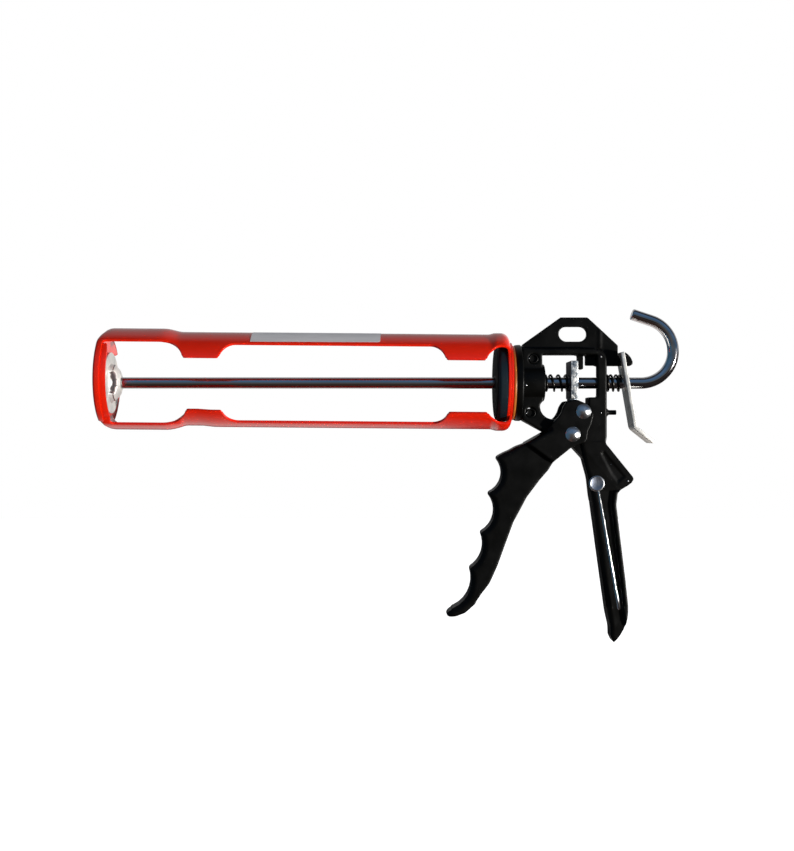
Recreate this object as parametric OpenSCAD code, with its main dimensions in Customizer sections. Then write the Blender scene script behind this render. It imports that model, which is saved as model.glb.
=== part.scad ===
/* [Cartridge] */
// Length of the cartridge body that the cradle holds
cart_len = 215; // [150:1:300]
// Outside diameter of that cartridge
cart_d = 48.4; // [44:0.2:60]
// End play of the cartridge between its two seats
cart_play = 0.8; // [0.3:0.1:3]
// Radial room between cartridge and straps
cart_room = 0.9; // [0.2:0.1:1.5]

/* [Cradle pressings] */
// Thickness of the steel sheet
sheet_t = 1.4; // [0.9:0.1:1.8]
// Angle from its crown to which a strap wraps on the closed side, in degrees
strap_wrap = 33.8; // [28:0.2:42]
// Angle from its crown to its edge on the loading side, in degrees
strap_open = 14; // [8:0.5:15]
// Angle from the crown to the edge of a gripping tab, in degrees
tab_wrap = 55.4; // [50:0.2:62]
// Angle that the cradle stands turned at rest, in degrees
cradle_turn = 8.7; // [-180:0.1:180]
// Length of the front gripping tab along its lower edge
front_tab_len = 19.4; // [10:0.2:30]
// Length of the rear gripping tab along its lower edge
rear_tab_len = 21.4; // [10:0.2:30]
// Radius of the hollow corners beside a tab
tab_corner = 8.6; // [5:0.2:10]
// Start of the front tab, from the front face
front_tab_x = 47.6; // [44:0.2:60]
// Gap between the rear tab and the rear plate
rear_tab_gap = 14; // [12:0.5:30]
// Outward set of the strap's front length
front_set = 1.8; // [1:0.1:4]
// Where that set begins to run in, from the front face
set_x = 34; // [25:0.5:36]
// Length over which it runs in
set_run = 11; // [8:0.5:12]
// Outward set of the strap just before the rear plate
rear_set = 0.8; // [0.4:0.1:2]
// Outside radius of the bend at the front
front_bend = 6; // [4:0.2:9]
// Outside radius of the bend at the rear
rear_bend = 4.4; // [3:0.2:6]
// Depth of the outer pressing's lip on the closed side
outer_lip_depth = 3; // [2.3:0.1:4]
// Depth of the inner pressing's lip there
inner_lip_depth = 5.2; // [3:0.1:8]
// Outside radius of the lip's own corner
lip_corner = 2.2; // [1.9:0.1:2.4]
// Width of the nozzle slot
nozzle_slot_w = 23; // [18:0.5:30]

/* [Label] */
// Length of the blank foil label
label_len = 73; // [30:1:100]
// Start of the label from the front face
label_x = 82; // [80:1:100]
// Angle that the label covers from the crown to the closed side, in degrees
label_wrap = 29.8; // [10:0.2:32]
// Angle that it covers on the loading side, in degrees
label_open = 10; // [4:0.5:14]
// Thickness of the label
label_t = 0.16; // [0.1:0.02:0.4]

/* [Nose] */
// Thickness of the retainer disc inside the cradle
retainer_t = 5.6; // [4.5:0.1:9]
// Diameter of the retainer disc
retainer_d = 40.6; // [34:0.2:43]
// Thickness of the swivel washer
washer_t = 1.5; // [0.8:0.1:3]
// Diameter of the swivel washer
washer_d = 40.2; // [34:0.2:43]
// Diameter of the nose flange
flange_d = 41.2; // [36:0.2:43]
// Thickness of the nose flange
flange_t = 4.1; // [3:0.1:6]
// Diameter of the spigot that the cradle turns on
spigot_d = 18; // [15:0.2:22]
// Diameter of the two cross pins in the nose
nose_pin_d = 5.3; // [3:0.1:6]

/* [Rod and piston] */
// Diameter of the push rod
rod_d = 6.4; // [5:0.1:8]
// Diameter of the piston plate
piston_d = 34; // [26:0.5:44]
// Thickness of the piston plate
piston_t = 1.4; // [1:0.1:2]
// Height of the cone pressed into its middle
cone_h = 5.8; // [4.8:0.2:9]
// Radius of the hook's bend, to the middle of the rod
hook_r = 17.9; // [14:0.1:22]
// Angle that the hook turns through, in degrees
hook_turn = 161.6; // [140:0.2:175]
// Straight end of the hook
hook_tail = 11.8; // [4:0.2:20]

/* [Body casting] */
// Width of the window frame, between the trigger's ears
body_w = 13.4; // [11:0.2:18]
// Thickness of the hanger web and rear arm
web_t = 4; // [3:0.2:5]
// Width of the handle
handle_w = 16; // [15:0.5:22]
// Depth of the recess in each side of the handle
recess_depth = 2; // [1:0.1:3]
// Width of the rim around that recess
rim_w = 2.2; // [1.6:0.1:3]
// Length of the handle, from the rod's axis to its tip
handle_len = 144.6; // [130:0.2:180]

/* [Drive] */
// Thickness of the drive plate
drive_t = 4; // [3:0.1:5]
// Width of the drive plate
drive_w = 20; // [16:0.5:24]
// Diameter of the trigger's pivot rivet
pivot_d = 5; // [4:0.1:7]
// Diameter of the rivet that pushes the drive plate
drive_pin_d = 4.2; // [3.6:0.1:4.8]
// Diameter of the rivets' domed heads
rivet_head_d = 8.3; // [7:0.1:9.5]
// Height of those heads
rivet_head_h = 1.9; // [1:0.1:3]
// Thickness of each of the trigger's ears
ear_t = 3.5; // [2.5:0.1:5]
// Wall of the trigger's hollow lever
lever_wall = 2.8; // [2:0.1:4]
// Wire of both springs
spring_wire = 1.2; // [0.8:0.1:1.4]

/* [Release lever] */
// Thickness of the release lever's strip
release_t = 2.2; // [1.8:0.1:3]
// Width of the release lever
release_w = 16; // [14:0.2:22]
// Lean of the lever at rest, in degrees
release_lean = 9.8; // [6:0.2:11]
// Length of its thumb tab
thumb_len = 11.6; // [6:0.2:16]
// Diameter of the stop peg that the lever meets
peg_d = 2.5; // [2:0.1:4]

/* [Seal punch] */
// Diameter of the punch wire
punch_d = 2; // [1.4:0.1:2.6]
// Length of the punch wire, from its rivet
punch_len = 71; // [50:0.5:76]
// Diameter of its rivet's head
punch_head_d = 8.7; // [7:0.1:11]

/* [Hidden] */
$fn = 64;

// fits and running clearances
gap = 0.3;
run = 0.1;
over = 0.5;

// cradle, outside radii and stations along the rod's axis
mid_r = cart_d / 2 + cart_room + sheet_t;
front_r = mid_r + front_set;
rear_r = mid_r + rear_set;
outer_lip_r = front_r - 1;
inner_lip_r = outer_lip_r - sheet_t;
seat_x = 2 * sheet_t;
retainer_x = seat_x + cart_len + cart_play;
plate_x = retainer_x + retainer_t + gap;
cradle_end = plate_x + 2 * sheet_t;
washer_x = cradle_end + gap;
nose_x = washer_x + washer_t;
half_len = cradle_end - sheet_t;
rear_plate_r = mid_r - 4.5;
relief = 2;
edge_lap = 0.15;
slot_r = nozzle_slot_w / 2;

// nose
spigot_r = spigot_d / 2;
rod_r = rod_d / 2;
bore_r = rod_r + run;
body_x = nose_x + flange_t;
hub_end = nose_x + 16.9;
tail_r = rod_r + 3.65;
hub_r = tail_r + 3.5;
clip_t = 1.2;
clip_depth = 2.6;
pin_places = [[nose_x + 10.4, 13.2], [nose_x + 8.8, -16.4]];

// window, posts and lugs of the casting
half_w = body_w / 2;
window_top = 15.7;
beam_top = 18.8;
post_x = nose_x + 45.8;
post_end = post_x + 5.4;
hanger_top = 36;
hang_slot = [nose_x + 31.6, 26.7];
hang_slot_len = 16.2;
hang_slot_w = 9;
arm_low = 9.4;
ear_room_r = 7.6;

// trigger and drive
pivot = [nose_x + 31.7, -28.6];
drive_x = nose_x + 31.2;
pin_z = -16;
drive_pin_r = drive_pin_d / 2;
drive_pin = [drive_x + drive_t + gap + drive_pin_r, pin_z];
ear_in = half_w + gap;
ear_out = ear_in + ear_t;
drive_top = 12;
drive_low = -15.8;
tongue_top = -8.8;
spring_r = rod_r + 0.6 + spring_wire / 2;

// release lever
notch_x = nose_x + 60;
notch_low = 13.6;
notch_w = release_t + 1.5;
hinge_z = notch_low + 1;
lever_low = -24;
peg_z = -16.5;
peg_out = 6.2;
peg_hold = 4.4;
thumb_drop = 38.4;
bar_h = 3;
bar_up = 2.4;
slot_h = 5.6;
rear_spring_end = notch_x + (hinge_z - spring_r - spring_wire / 2) * tan(release_lean)
    - release_t / 2 / cos(release_lean) - gap;

// rod and piston
piston_x = seat_x + 0.5;
rod_x = piston_x + cone_h + piston_t + run;
hook_x = nose_x + 71.4;
tail_lap = 0.2;
tail_bevel = 0.6;
tail_end_r = rod_r - 0.02;
thread_r = 2;
nut_t = 3.2;

// seal punch
punch_at = [nose_x + 45.2, -55.5];
punch_r = punch_d / 2;
punch_shank_r = 1.8;
punch_y = -(handle_w / 2 + gap + punch_r);
punch_lean = 10;

// points on an arc from a to b, bowed by s to the right of the way from a to b
function bow(a, b, s, n = 8) =
    let (chord = norm(b - a),
         r = (chord * chord / 4 + s * s) / (2 * abs(s)),
         half = 2 * atan2(2 * abs(s), chord),
         way = atan2(b[1] - a[1], b[0] - a[0]),
         side = s > 0 ? -1 : 1,
         mid = (a + b) / 2,
         c = mid - side * (r - abs(s)) * [-sin(way), cos(way)])
    [for (i = [0 : n])
        let (t = way + side * (90 + half - 2 * half * i / n))
        c + r * [cos(t), sin(t)]];

// points on a circle
function round_pts(c, r, from, to, n = 8) =
    [for (i = [0 : n]) let (t = from + (to - from) * i / n) c + r * [cos(t), sin(t)]];

// a path given a thickness to its left
function left(a, b) = [a[1] - b[1], b[0] - a[0]] / norm(b - a);
function miter(u, v) = (u + v) / (1 + u * v);
function thicken(p, t) =
    let (n = len(p))
    concat(p, [for (k = [n - 1 : -1 : 0])
        let (before = left(p[max(k - 1, 0)], p[max(k, 1)]),
             after = left(p[min(k, n - 2)], p[min(k + 1, n - 1)]))
        p[k] + t * miter(before, after)]);

// a closed outline moved inwards, for outlines that run clockwise
function inset(p, d) =
    let (n = len(p))
    [for (k = [0 : n - 1])
        p[k] - d * miter(left(p[(k + n - 1) % n], p[k]), left(p[k], p[(k + 1) % n]))];

// turns a profile of [radius, x] about the rod's axis, from the bottom towards +Y
module about_rod(from = 0, turn = 360) {
    rotate([0, 90, 0]) rotate([0, 0, from]) rotate_extrude(angle = turn) children();
}

// a disc or tube on the rod's axis
module on_rod(x, len, r) {
    translate([x, 0, 0]) rotate([0, 90, 0]) cylinder(h = len, r = r);
}

// raises a side view of [x, z] to a plate between two values of y
module plate(y0, y1) {
    translate([0, y1, 0]) rotate([90, 0, 0]) linear_extrude(y1 - y0) children();
}

// a plate that is even about the middle
module mid_plate(w) {
    plate(-w / 2, w / 2) children();
}

// a cylinder across the gun
module across(at, r, y0, y1) {
    plate(y0, y1) translate(at) circle(r);
}

// ---- cradle: two nested pressings, each a strap with a plate at both ends ----

// outside of a strap as [radius, x], from the front plate to the rear plate
strap_path = concat(
    [[slot_r + 1, 0]],
    round_pts([front_r - front_bend, front_bend], front_bend, -90, 0, 10),
    [[front_r, set_x]],
    [for (i = [1 : 7]) [mid_r + front_set * (1 + cos(180 * i / 8)) / 2, set_x + set_run * i / 8]],
    [[mid_r, set_x + set_run], [mid_r, half_len - 11.4]],
    [[rear_r, half_len - 7.6]],
    round_pts([rear_r - rear_bend, half_len - rear_bend], rear_bend, 0, 90, 8),
    [[spigot_r + 3, half_len]]
);

// a strap from its edge on the loading side to an angle on the closed side
module strap_shell(wrap) {
    about_rod(180 - strap_open, strap_open + wrap) polygon(thicken(strap_path, sheet_t));
}

// side view of a tab with its two hollow corners
module tab_outline(x, len) {
    top = mid_r * cos(strap_wrap) + edge_lap;
    low = top - tab_corner;
    polygon(concat(
        round_pts([x - tab_corner, low], tab_corner, 90, 0),
        [[x, 0], [x + len, 0]],
        round_pts([x + len + tab_corner, low], tab_corner, 180, 90),
        [[x + len + tab_corner, front_r + over], [x - tab_corner, front_r + over]]
    ));
}

module tab(x, len) {
    intersection() {
        strap_shell(tab_wrap);
        plate(-front_r - 1, 0) tab_outline(x, len);
    }
}

module side_lip(r, depth) {
    path = concat([[slot_r + 1, 0]], round_pts([r - lip_corner, lip_corner], lip_corner, -90, 0, 6),
                  [[r, depth]]);
    about_rod(180 + strap_wrap + relief, 180 - 2 * (strap_wrap + relief)) polygon(thicken(path, sheet_t));
}

// one pressing, drawn as the upper one with its front face at x = 0
module pressing(lip_r, lip_depth) {
    strap_shell(strap_wrap);
    tab(front_tab_x, front_tab_len);
    tab(half_len - rear_tab_gap - rear_tab_len, rear_tab_len);
    side_lip(lip_r, lip_depth);
    on_rod(0, sheet_t, lip_r - lip_corner);
    about_rod(180 - 90, 90 - strap_open - relief) translate([slot_r, 0]) square([lip_r - slot_r, sheet_t]);
    difference() {
        on_rod(half_len - sheet_t, sheet_t, rear_plate_r);
        on_rod(half_len - sheet_t - over, sheet_t + 2 * over, spigot_r + run);
    }
}

// the slot that the cartridge's nozzle drops into from the side
module nozzle_slot() {
    on_rod(-over, seat_x + over + 0.1, slot_r);
    translate([-over, 0, -slot_r]) cube([seat_x + 2 * over, front_r + over, nozzle_slot_w]);
}

module cradle_upper() {
    color("red") rotate([cradle_turn, 0, 0]) difference() {
        pressing(outer_lip_r, outer_lip_depth);
        nozzle_slot();
    }
}

module cradle_lower() {
    color("red") rotate([cradle_turn, 0, 0]) difference() {
        translate([sheet_t, 0, 0]) mirror([0, 0, 1]) pressing(inner_lip_r, inner_lip_depth);
        strap_shell(strap_wrap);
        nozzle_slot();
    }
}

module cradle_label() {
    color("silver") rotate([cradle_turn, 0, 0])
        about_rod(180 - label_open, label_open + label_wrap)
            translate([mid_r, label_x]) square([label_t, label_len]);
}

// ---- nose: spindle, washer, retainer disc and its clip, cross pins ----

// a disc whose two rims are rounded, with a hole
module round_disc(x, t, d, hole_r, edge) {
    r = d / 2;
    about_rod() difference() {
        translate([0, x]) union() {
            square([r - edge, t]);
            translate([0, edge]) square([r, t - 2 * edge]);
            for (k = [edge, t - edge]) translate([r - edge, k]) circle(edge);
        }
        translate([-over, x - over]) square([hole_r + over, t + 2 * over]);
    }
}

module swivel_washer() {
    color("orange") round_disc(washer_x, washer_t, washer_d, spigot_r, 0.4);
}

module nose_spindle() {
    clip_x = retainer_x + clip_depth - clip_t;
    color("black") difference() {
        union() {
            round_disc(nose_x, flange_t, flange_d, 0, 1.2);
            on_rod(retainer_x + 0.4, nose_x - retainer_x, spigot_r);
            on_rod(nose_x + 1, hub_end - nose_x - 1, tail_r);
            tail_bar();
        }
        on_rod(retainer_x - over, hub_end - retainer_x + 2 * over, bore_r);
        for (p = pin_places) across(p, nose_pin_d / 2, -body_w, body_w);
        difference() {
            on_rod(clip_x, clip_t, spigot_r + over);
            on_rod(clip_x - over, clip_t + 2 * over, spigot_r - 0.9);
        }
    }
}

// the flat bar that the cross pins hold in the casting
module tail_bar() {
    x_end = nose_x + 14.4;
    mid_plate(5) polygon([
        [nose_x + 2, -18.6], [nose_x + 2, 16.4], [x_end, 16.4], [x_end, -12],
        [nose_x + 12.6, -18.6]
    ]);
}

module nose_retainer() {
    color("black") difference() {
        round_disc(retainer_x, retainer_t, retainer_d, spigot_r, 2);
        on_rod(retainer_x - over, clip_depth + over, spigot_r + 3.6);
    }
}

module retainer_clip() {
    x = retainer_x + clip_depth - clip_t;
    color("silver") difference() {
        on_rod(x, clip_t, spigot_r + 2.4);
        on_rod(x - over, clip_t + 2 * over, spigot_r - 0.9);
        translate([x - over, -2.6, -spigot_r - 4]) cube([clip_t + 2 * over, 5.2, 7]);
    }
}

module nose_pins() {
    color("black") for (p = pin_places)
        across(p, nose_pin_d / 2, -half_w - 0.5, half_w + 0.5);
}

// ---- body casting ----

// side view of the hanger web and the arm that carries the release lever
module hanger_outline() {
    difference() {
        polygon([
            [body_x, window_top], [body_x, 20.9], [nose_x + 25.3, hanger_top],
            [nose_x + 40.5, hanger_top], [nose_x + 64.9, 13.5], [nose_x + 66, 11.5],
            [nose_x + 65.6, 10.2], [nose_x + 64.2, arm_low], [post_x, arm_low], [post_x, window_top]
        ]);
        translate(hang_slot) {
            square([hang_slot_len - hang_slot_w, hang_slot_w], center = true);
            for (s = [-1, 1]) translate([s * (hang_slot_len - hang_slot_w) / 2, 0]) circle(hang_slot_w / 2);
        }
        translate([notch_x - notch_w / 2, notch_low]) square([notch_w, 10]);
    }
}

// side view of the frame around the window, down to the trigger's pivot
module frame_outline() {
    difference() {
        polygon([
            [body_x, 20.5], [body_x + 0.4, beam_top], [post_end, beam_top],
            [post_end, -30], [nose_x + 50.5, -34], [nose_x + 38, -42], [nose_x + 32, -35.5],
            [nose_x + 15, -26.8], [body_x, -20.8]
        ]);
        difference() {
            window_outline();
            translate([nose_x + 35.5, 7.5]) square([3.1, 10]);
            translate([nose_x + 40.1, 9.7]) square([7, 10]);
        }
    }
}

// the window, with room for the drive plate's tongue and the rivet that pushes it
module window_outline() {
    polygon(concat(
        [[nose_x + 15.3, window_top - 0.6], [nose_x + 16, window_top], [post_x - 0.8, window_top],
         [post_x, window_top - 0.8], [post_x, -8.1], [nose_x + 41, -8.1], [nose_x + 41, -22]],
        [for (p = round_pts(pivot, ear_room_r, 35, 145)) p],
        [[nose_x + 22.4, -20.4]],
        bow([nose_x + 21, -20.3], [nose_x + 14.2, -12.1], -2.4, 6),
        [[nose_x + 15.9, -10]]
    ));
}

// side view of the handle, clockwise from the top, with the points of its horn and its toe
function handle(horn, toe) = concat(
    [[nose_x + 36.8, -36.2], [nose_x + 44, -33.2], [nose_x + 49.9, -33]],
    horn,
    [[nose_x + 59, -59.3], [nose_x + 57, -61.3], [nose_x + 56.2, -67.8],
     [nose_x + 61.3, 35.2 - handle_len], [nose_x + 62.8, 21.2 - handle_len]],
    toe,
    [[nose_x + 53.4, 9 - handle_len], [nose_x + 43.7, -66.2], [nose_x + 41.2, -53.3],
     [nose_x + 38.9, -45]]
);
handle_side = handle(
    [[nose_x + 65.6, -52.4], [nose_x + 66.5, -54.1], [nose_x + 62.8, -57.1]],
    concat(bow([nose_x + 62.8, 17 - handle_len], [nose_x + 55, 0.2 - handle_len], -1.8, 6),
           [[nose_x + 53.4, 3.6 - handle_len]])
);
recess_side = inset(handle([[nose_x + 64.9, -55.4]],
                           [[nose_x + 60.9, 9.5 - handle_len], [nose_x + 53.4, 0.5 - handle_len]]), rim_w);

module body_casting() {
    color("black") difference() {
        union() {
            mid_plate(web_t) hanger_outline();
            mid_plate(body_w) frame_outline();
            on_rod(body_x, hub_end - body_x, hub_r);
            mid_plate(handle_w) polygon(handle_side);
        }
        on_rod(body_x - over, hub_end - body_x + 2 * over, tail_r);
        on_rod(post_x - over, 8, bore_r);
        tail_bar();
        for (p = pin_places) across(p, nose_pin_d / 2, -body_w, body_w);
        across(pivot, pivot_d / 2 + run, -body_w, body_w);
        for (s = [-1, 1]) plate(min(s * handle_w, s * (handle_w / 2 - recess_depth)),
                                max(s * handle_w, s * (handle_w / 2 - recess_depth)))
            difference() {
                polygon(recess_side);
                translate(punch_at) circle(punch_head_d / 2);
            }
        across(punch_at, punch_shank_r, -handle_w, handle_w / 2 - 3);
        along_x(post_end - peg_hold, peg_hold + over, peg_d / 2, peg_z);
    }
}

// a cylinder along the gun, at a height of its own
module along_x(x, len, r, z) {
    translate([x, 0, z]) rotate([0, 90, 0]) cylinder(h = len, r = r);
}

module stop_peg() {
    color("black") {
        along_x(post_end - peg_hold, peg_hold + peg_out, peg_d / 2, peg_z);
        translate([post_end, 0, peg_z]) rotate([0, 90, 0])
            cylinder(h = 1.2, r1 = peg_d / 2 + 1, r2 = peg_d / 2);
    }
}

// ---- rod and piston ----

module push_rod() {
    color("silver") {
        on_rod(rod_x, hook_x - rod_x, rod_r);
        on_rod(piston_x + 1.2, rod_x - piston_x, thread_r);
        translate([hook_x, 0, hook_r]) rotate([90, 0, 0]) rotate([0, 0, -90])
            rotate_extrude(angle = hook_turn) translate([hook_r, 0]) circle(rod_r);
        translate([hook_x + hook_r * sin(hook_turn), 0, hook_r * (1 - cos(hook_turn))])
            rotate([0, 90 - hook_turn, 0]) translate([0, 0, -tail_lap]) {
                cylinder(h = hook_tail - tail_bevel, r = tail_end_r);
                translate([0, 0, hook_tail - tail_bevel])
                    cylinder(h = tail_bevel, r1 = tail_end_r, r2 = rod_r - tail_bevel);
            }
    }
}

// front face of the piston as [radius, x], from its hub to its rim
piston_path = [
    [thread_r + run, piston_x + cone_h], [4.4, piston_x + cone_h], [8.4, piston_x + 0.9],
    [11, piston_x + 0.9], [11.8, piston_x], [piston_d / 2, piston_x]
];

module piston_plate() {
    color("silver") about_rod() polygon(thicken(piston_path, piston_t));
}

module piston_nut() {
    x = piston_x + cone_h - run - nut_t;
    color("silver") difference() {
        translate([x, 0, 0]) rotate([0, 90, 0]) cylinder(h = nut_t, r = 4, $fn = 6);
        on_rod(x - over, nut_t + 2 * over, thread_r);
    }
}

// ---- drive: plate, springs, trigger and its rivets ----

module drive_plate() {
    color("silver") difference() {
        union() {
            translate([drive_x, -drive_w / 2, tongue_top]) cube([drive_t, drive_w, drive_top - tongue_top]);
            translate([drive_x, -half_w + 0.5, drive_low])
                cube([drive_t, body_w - 1, tongue_top - drive_low + 1]);
        }
        on_rod(drive_x - over, drive_t + 2 * over, bore_r);
    }
}

// the wire of a compression spring about the rod, its end turns closed
module spring(x0, x1, turns) {
    sides = 8;
    steps = turns * 18;
    lead = spring_wire * 0.75;
    first = x0 + spring_wire / 2;
    last = x1 - spring_wire / 2;
    function x_at(k) =
        let (t = k / 18)
        t < 0.75 ? first + t / 0.75 * lead :
        t > turns - 0.75 ? last - (turns - t) / 0.75 * lead :
        first + lead + (t - 0.75) / (turns - 1.5) * (last - first - 2 * lead);
    function ring(k) =
        let (a = k * 20, out = [0, cos(a), sin(a)], mid = [x_at(k), 0, 0] + spring_r * out)
        [for (j = [0 : sides - 1])
            let (b = 360 * j / sides)
            mid + spring_wire / 2 * (cos(b) * out + sin(b) * [1, 0, 0])];
    polyhedron(
        points = [for (k = [0 : steps]) each ring(k)],
        faces = concat(
            [[for (j = [0 : sides - 1]) j]],
            [for (k = [0 : steps - 1]) for (j = [0 : sides - 1])
                [k * sides + j, (k + 1) * sides + j,
                 (k + 1) * sides + (j + 1) % sides, k * sides + (j + 1) % sides]],
            [[for (j = [sides - 1 : -1 : 0]) steps * sides + j]]
        )
    );
}

module front_spring() {
    color("black") spring(hub_end, drive_x, 4);
}

module rear_spring() {
    color("black") spring(post_end, rear_spring_end, 3.5);
}

// side view of the trigger about its pivot, down the fingers' side and back up
trigger_side = concat(
    [[2.5, 19.1], [-3.4, 18.4], [-6.3, 15.5], [-8.3, 10], [-15.2, 1.2]],
    bow([-40.8, -13.2], [-45.3, -33.2], -5.3),
    bow([-45.3, -33.2], [-49.5, -55.3], -5.4),
    bow([-49.5, -55.3], [-55.7, -75.2], -3.9),
    bow([-55.7, -75.2], [-68.6, -98.6], -6),
    [[-69, -100], [-66.2, -100.4], [-60, -98.2], [-54.3, -93.8], [-46.2, -81.2],
     [-42.2, -72.3], [-38.1, -61], [-33.3, -48], [-26, -34.3], [-18.7, -24.6],
     [-10.6, -15.3], [-0.5, -7.2], [6.6, -4.6], [7.8, -2.8], [8.5, 1.8], [10.5, 6.2],
     [11.3, 10], [11.2, 11.5], [9.8, 14.4], [7.5, 16.9]]
);

// room between the ears for the casting, the drive plate and its rivet
fork_side = [[-17.4, 0.4], [-4.9, -6.4], [-3.4, -11.6], [20, -11.6], [20, 25], [-17.4, 25]];

// the hollow in the lever's back
hollow_side = [[-32, -23], [-39.8, -42.8], [-46, -62.6], [-51.5, -80], [-40, -86],
               [-26, -60], [-4, -24]];

module trigger() {
    color("black") translate([pivot[0], 0, pivot[1]]) difference() {
        mid_plate(2 * ear_out) polygon(trigger_side);
        mid_plate(2 * ear_in) polygon(fork_side);
        mid_plate(2 * (ear_out - lever_wall)) polygon(hollow_side);
        across([0, 0], pivot_d / 2, -ear_out - over, ear_out + over);
        across(drive_pin - pivot, drive_pin_r, -ear_out - over, ear_out + over);
    }
}

// a rivet across the trigger's ears, domed at both ends
module ear_rivet(at, r) {
    head = rivet_head_d / 2;
    dome = (head * head + rivet_head_h * rivet_head_h) / (2 * rivet_head_h);
    across(at, r, -ear_out, ear_out);
    for (s = [-1, 1]) translate([at[0], s * ear_out, at[1]]) rotate([s * -90, 0, 0])
        rotate_extrude() intersection() {
            translate([0, rivet_head_h - dome]) circle(dome);
            square([head, rivet_head_h]);
        }
}

module pivot_rivet() {
    color("silver") ear_rivet(pivot, pivot_d / 2);
}

module drive_rivet() {
    color("silver") ear_rivet(drive_pin, drive_pin_r);
}

// ---- release lever ----

module release_lever() {
    fall = (hinge_z - lever_low) / cos(release_lean);
    turn = 90 - release_lean - thumb_drop;
    face = -release_t / 2;
    bend = 4;
    low = face + bend * (1 - cos(turn));
    path = concat([[face, bar_up]], round_pts([face + bend, -fall], bend, 180, 180 + turn, 5),
                  [[low + thumb_len * sin(turn), -fall - bend * sin(turn) - thumb_len * cos(turn)]]);
    color("silver") translate([notch_x, 0, hinge_z]) rotate([0, -release_lean, 0]) difference() {
        mid_plate(release_w) polygon(thicken(path, release_t));
        translate([-release_t, -web_t / 2 - 0.4, bar_up - bar_h - slot_h])
            cube([2 * release_t, web_t + 0.8, slot_h]);
        translate([-release_t, 0, -hinge_z / cos(release_lean)]) rotate([0, 90, 0])
            cylinder(h = 2 * release_t, r = rod_r + 2 * gap);
    }
}

// ---- seal punch ----

module punch_wire() {
    eye_r = punch_shank_r + run + punch_r;
    color("silver") translate([punch_at[0], punch_y, punch_at[1]]) {
        rotate([90, 0, 0]) rotate_extrude() translate([eye_r, 0]) circle(punch_r);
        rotate([0, 180 - punch_lean, 0]) translate([0, 0, eye_r])
            cylinder(h = punch_len - eye_r, r = punch_r);
    }
}

module punch_rivet() {
    face = punch_y - punch_r - run;
    color("silver") {
        across(punch_at, punch_shank_r, face - over, handle_w / 2 - 3);
        translate([punch_at[0], face, punch_at[1]]) rotate([90, 0, 0]) {
            cylinder(h = 1.1, r = punch_head_d / 2);
            translate([0, 0, 1.1]) cylinder(h = 0.4, r1 = punch_head_d / 2, r2 = punch_head_d / 2 - 0.6);
        }
    }
}

cradle_upper();
cradle_lower();
cradle_label();
swivel_washer();
nose_spindle();
nose_retainer();
retainer_clip();
nose_pins();
body_casting();
stop_peg();
push_rod();
piston_plate();
piston_nut();
drive_plate();
front_spring();
rear_spring();
trigger();
pivot_rivet();
drive_rivet();
release_lever();
punch_wire();
punch_rivet();
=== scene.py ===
from math import acos, asin, atan2, cos, degrees, pi, radians, sin, sqrt

import bmesh
import bpy
from mathutils import Matrix, Vector
from mathutils.kdtree import KDTree


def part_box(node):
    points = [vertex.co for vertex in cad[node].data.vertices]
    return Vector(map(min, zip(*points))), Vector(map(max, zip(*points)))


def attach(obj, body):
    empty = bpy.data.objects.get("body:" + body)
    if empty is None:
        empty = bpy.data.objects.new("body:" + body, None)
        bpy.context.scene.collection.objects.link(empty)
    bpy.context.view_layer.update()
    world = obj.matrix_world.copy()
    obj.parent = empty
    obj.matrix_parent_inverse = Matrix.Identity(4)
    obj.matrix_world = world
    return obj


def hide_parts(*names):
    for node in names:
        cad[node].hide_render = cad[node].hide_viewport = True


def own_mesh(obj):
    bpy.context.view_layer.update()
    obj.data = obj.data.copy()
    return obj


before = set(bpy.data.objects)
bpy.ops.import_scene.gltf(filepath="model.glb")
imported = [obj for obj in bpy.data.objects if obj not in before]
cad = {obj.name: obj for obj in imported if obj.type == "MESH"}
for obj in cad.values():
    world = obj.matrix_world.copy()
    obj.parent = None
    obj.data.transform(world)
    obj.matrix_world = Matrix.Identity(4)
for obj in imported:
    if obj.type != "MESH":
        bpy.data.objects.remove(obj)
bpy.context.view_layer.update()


# Camera. It stands level with the top of the trigger, in front of the closed
# side of the cradle and square to the rod.
bpy.ops.object.camera_add(location=(0.1638, -0.661, -0.0238), rotation=(radians(90), 0, 0))
camera = bpy.context.object
camera.data.lens = 49.93
camera.data.sensor_width = 36
camera.data.clip_start = 0.05
bpy.context.scene.camera = camera
bpy.context.scene.view_settings.view_transform = "Standard"


# Lamp. A small one stands low on the camera's right, two metres away, so that
# highlights sit on the right of round parts.
sun_way = Vector((0.85, -0.52, -0.13))
bpy.ops.object.light_add(type="AREA", location=Vector((0.17, 0, -0.03)) + 2 * sun_way)
key_lamp = bpy.context.object
key_lamp.name = "key_lamp"
key_lamp.data.shape = "DISK"
key_lamp.data.size = 0.14
key_lamp.data.energy = 74
key_lamp.data.color = (1, 0.97, 0.93)
key_lamp.rotation_euler = sun_way.to_track_quat("Z", "Y").to_euler()


# Room. Seen directly it is plain white. Gloss sees a room that turns with
# height around the gun: navy above the camera, brown below it, pale behind. A
# white window stands behind on the right, what lies low on the right is dark,
# and the left end is blue.
world = bpy.data.worlds.new("room")
bpy.context.scene.world = world
world.use_nodes = True
room = world.node_tree
room.nodes.clear()
way = room.nodes.new("ShaderNodeTexCoord")
axes = room.nodes.new("ShaderNodeSeparateXYZ")
room.links.new(way.outputs["Generated"], axes.inputs[0])


def room_math(operation, first, second):
    made = room.nodes.new("ShaderNodeMath")
    made.operation = operation
    for socket, value in zip(made.inputs, (first, second)):
        if isinstance(value, (int, float)):
            socket.default_value = value
        else:
            room.links.new(value, socket)
    return made.outputs[0]


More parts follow.
